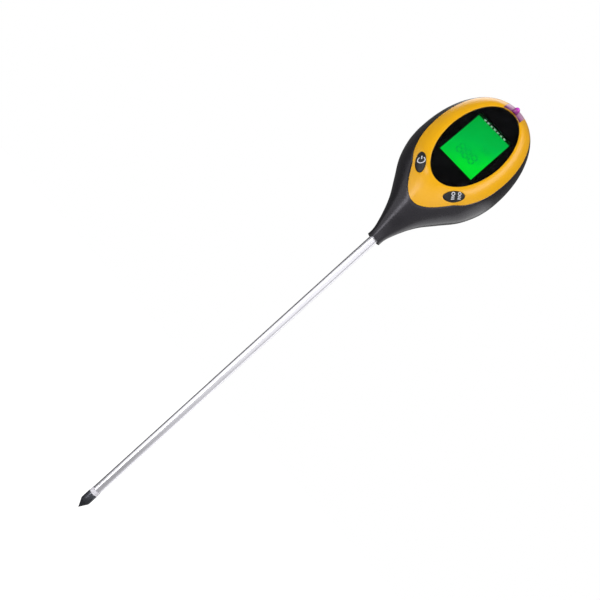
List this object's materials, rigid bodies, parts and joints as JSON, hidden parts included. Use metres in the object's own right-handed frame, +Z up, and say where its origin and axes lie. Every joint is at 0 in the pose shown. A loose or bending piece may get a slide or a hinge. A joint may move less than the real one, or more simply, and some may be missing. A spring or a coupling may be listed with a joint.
{
  "type": "soil thermometer probe",
  "caption": "Hand-held soil tester: a long metal probe with an insulated point below an egg-shaped head with a lit display, push buttons and a light sensor.",
  "frame": {"origin": "the probe's point", "axes": "+Z up along the probe to the head, the display faces -Y, +X is to the right of a person reading the display"},
  "size_m": [0.0622, 0.0455, 0.3323],
  "materials": {
    "shell_black": "satin moulded black",
    "cover_yellow": "satin amber yellow",
    "button_rubber": "matt dark grey",
    "lens_clear": "clear glossy window",
    "mask_black": "gloss black printed surround",
    "lcd_green": "lit green display",
    "diffuser_white": "milky light guide",
    "pin_metal": "tinned contacts",
    "board_green": "solder mask green",
    "chip_black": "epoxy blob",
    "pill_black": "carbon filled rubber",
    "pad_gold": "plated contact",
    "sensor_violet": "clear violet resin",
    "insert_lilac": "translucent lilac",
    "tube_metal": "fine drawn finish",
    "tip_metal": "dark oxidised point",
    "ring_white": "white insulator",
    "bead_black": "epoxy coated",
    "collar_brass": "turned",
    "battery_case": "plain painted case",
    "terminal_metal": "plated",
    "snap_black": "soft vinyl",
    "wire_red": "insulated wire",
    "wire_black": "insulated wire",
    "screw_steel": "zinc plated"
  },
  "bodies": {
    "housing": {"rear_housing": "shell_black", "front_cover": "cover_yellow", "window_lens": "lens_clear", "window_mask": "mask_black", "lcd_glass": "lcd_green", "lcd_backlight": "diffuser_white", "lcd_pin_strip": "pin_metal", "sensor_leg_1": "pin_metal", "sensor_leg_2": "pin_metal", "main_board": "board_green", "controller_chip": "chip_black", "contact_pad_on": "pad_gold", "contact_pad_off": "pad_gold", "light_sensor": "sensor_violet", "light_window": "insert_lilac", "probe_tube": "tube_metal", "probe_tip": "tip_metal", "insulator_ring": "ring_white", "thermistor_bead": "bead_black", "contact_collar": "collar_brass", "battery": "battery_case", "battery_terminal_plus": "terminal_metal", "battery_terminal_minus": "terminal_metal", "battery_snap": "snap_black", "battery_lead_red": "wire_red", "electrode_lead": "wire_red", "battery_lead_black": "wire_black", "sensor_lead": "wire_black", "housing_screw_1": "screw_steel", "housing_screw_2": "screw_steel", "housing_screw_3": "screw_steel", "housing_screw_4": "screw_steel", "board_screw_1": "screw_steel", "board_screw_2": "screw_steel", "board_screw_3": "screw_steel", "board_screw_4": "screw_steel"},
    "button_on": {"button_on": "button_rubber", "contact_pill_on": "pill_black"},
    "button_off": {"button_off": "button_rubber", "contact_pill_off": "pill_black"},
    "battery_door": {"battery_door": "shell_black"}
  },
  "joints": [
    {"name": "button_on_press", "type": "slide", "parent": "housing", "child": "button_on", "axis": [0, 0.969, -0.247], "range_m": [0, 0.0007], "stiffness_N_per_m": 900},
    {"name": "button_off_press", "type": "slide", "parent": "housing", "child": "button_off", "axis": [0, 0.969, -0.247], "range_m": [0, 0.0007], "stiffness_N_per_m": 900},
    {"name": "battery_door_hinge", "type": "hinge", "parent": "housing", "child": "battery_door", "pos_m": [0, 0.0203, 0.25164], "axis": [-1, 0, 0], "range_deg": [0, 70]}
  ]
}
